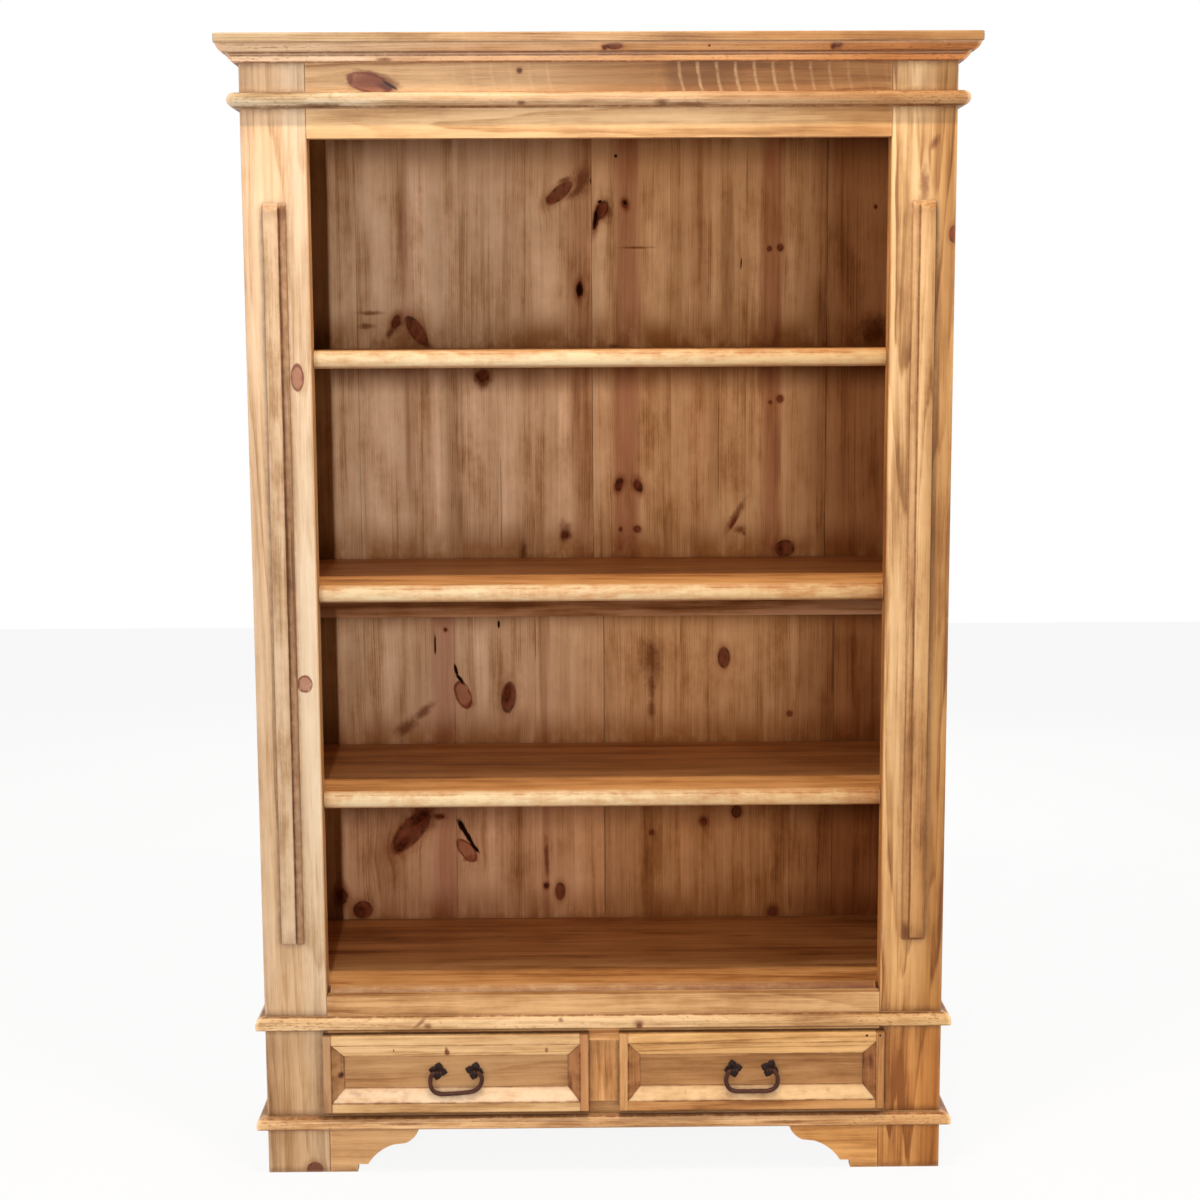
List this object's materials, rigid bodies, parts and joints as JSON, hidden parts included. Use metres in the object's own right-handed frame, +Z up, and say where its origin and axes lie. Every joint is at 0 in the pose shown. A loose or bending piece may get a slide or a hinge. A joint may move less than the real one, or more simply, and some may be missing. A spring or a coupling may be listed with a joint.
{
  "type": "bookcase",
  "caption": "Tall open bookcase in waxed rustic pine: framed front with raised strips, cornice and bead mouldings, open shelves, and lipped drawers with iron bail pulls on bracket feet.",
  "frame": {"origin": "on the floor, under the middle of the overall box", "axes": "+Z up, -Y is the front with the drawers, +X to the right as seen from the front"},
  "size_m": [1.176, 0.451, 1.83],
  "materials": {
    "pine_case": "waxed pine with a dark glaze rubbed into the joints, satin",
    "pine_moulding": "waxed pine, worn pale on the edges and dark in the quirks, satin",
    "pine_shelf": "waxed pine with a rubbed pale nose, satin",
    "pine_back": "thinly waxed pine boards with reddish heartwood bands, matt",
    "pine_top": "waxed pine, satin",
    "pine_drawer_front": "waxed pine with dark glaze in the corners, satin",
    "pine_inside": "bare sawn pine, matt",
    "iron": "dark brown waxed wrought iron, hammered",
    "nail_steel": "dull darkened steel"
  },
  "bodies": {
    "case": {"back_end_rails": "pine_inside", "back_lower_board_1": "pine_back", "back_lower_board_2": "pine_back", "back_lower_board_3": "pine_back", "back_nails": "nail_steel", "back_upper_board_1": "pine_back", "back_upper_board_2": "pine_back", "back_upper_board_3": "pine_back", "base_moulding_front": "pine_moulding", "base_moulding_left": "pine_moulding", "base_moulding_right": "pine_moulding", "bottom_shelf": "pine_shelf", "centre_runner": "pine_inside", "centre_stile": "pine_case", "cornice_front": "pine_moulding", "cornice_left": "pine_moulding", "cornice_right": "pine_moulding", "drawer_kicker": "pine_inside", "frieze_bead_front": "pine_moulding", "frieze_bead_left": "pine_moulding", "frieze_bead_right": "pine_moulding", "left_foot_bracket": "pine_case", "left_post": "pine_case", "left_post_strip": "pine_moulding", "left_runner": "pine_inside", "left_side_panel": "pine_case", "lower_rail": "pine_case", "lower_shelf": "pine_shelf", "middle_back_rail": "pine_back", "middle_shelf": "pine_shelf", "right_foot_bracket": "pine_case", "right_post": "pine_case", "right_post_strip": "pine_moulding", "right_runner": "pine_inside", "right_side_panel": "pine_case", "top_board": "pine_top", "top_rail": "pine_case", "top_shelf": "pine_shelf", "waist_moulding_front": "pine_moulding", "waist_moulding_left": "pine_moulding", "waist_moulding_right": "pine_moulding", "waist_rail": "pine_case"},
    "left_bail": {"left_bail": "iron"},
    "left_drawer": {"left_drawer_back": "pine_inside", "left_drawer_bottom": "pine_inside", "left_drawer_frame": "pine_drawer_front", "left_drawer_front": "pine_drawer_front", "left_drawer_left_side": "pine_inside", "left_drawer_right_side": "pine_inside", "left_pull_bolts": "iron", "left_pull_plates": "iron"},
    "right_bail": {"right_bail": "iron"},
    "right_drawer": {"right_drawer_back": "pine_inside", "right_drawer_bottom": "pine_inside", "right_drawer_frame": "pine_drawer_front", "right_drawer_front": "pine_drawer_front", "right_drawer_left_side": "pine_inside", "right_drawer_right_side": "pine_inside", "right_pull_bolts": "iron", "right_pull_plates": "iron"}
  },
  "joints": [
    {"name": "left_drawer_slide", "type": "slide", "parent": "case", "child": "left_drawer", "axis": [0, -1, 0], "range_m": [0, 0.26]},
    {"name": "right_drawer_slide", "type": "slide", "parent": "case", "child": "right_drawer", "axis": [0, -1, 0], "range_m": [0, 0.26]},
    {"name": "left_bail_swing", "type": "hinge", "parent": "left_drawer", "child": "left_bail", "pos_m": [-0.2425, -0.2089, 0.175], "axis": [-1, 0, 0], "range_deg": [0, 120]},
    {"name": "right_bail_swing", "type": "hinge", "parent": "right_drawer", "child": "right_bail", "pos_m": [0.2425, -0.2089, 0.175], "axis": [-1, 0, 0], "range_deg": [0, 120]}
  ]
}
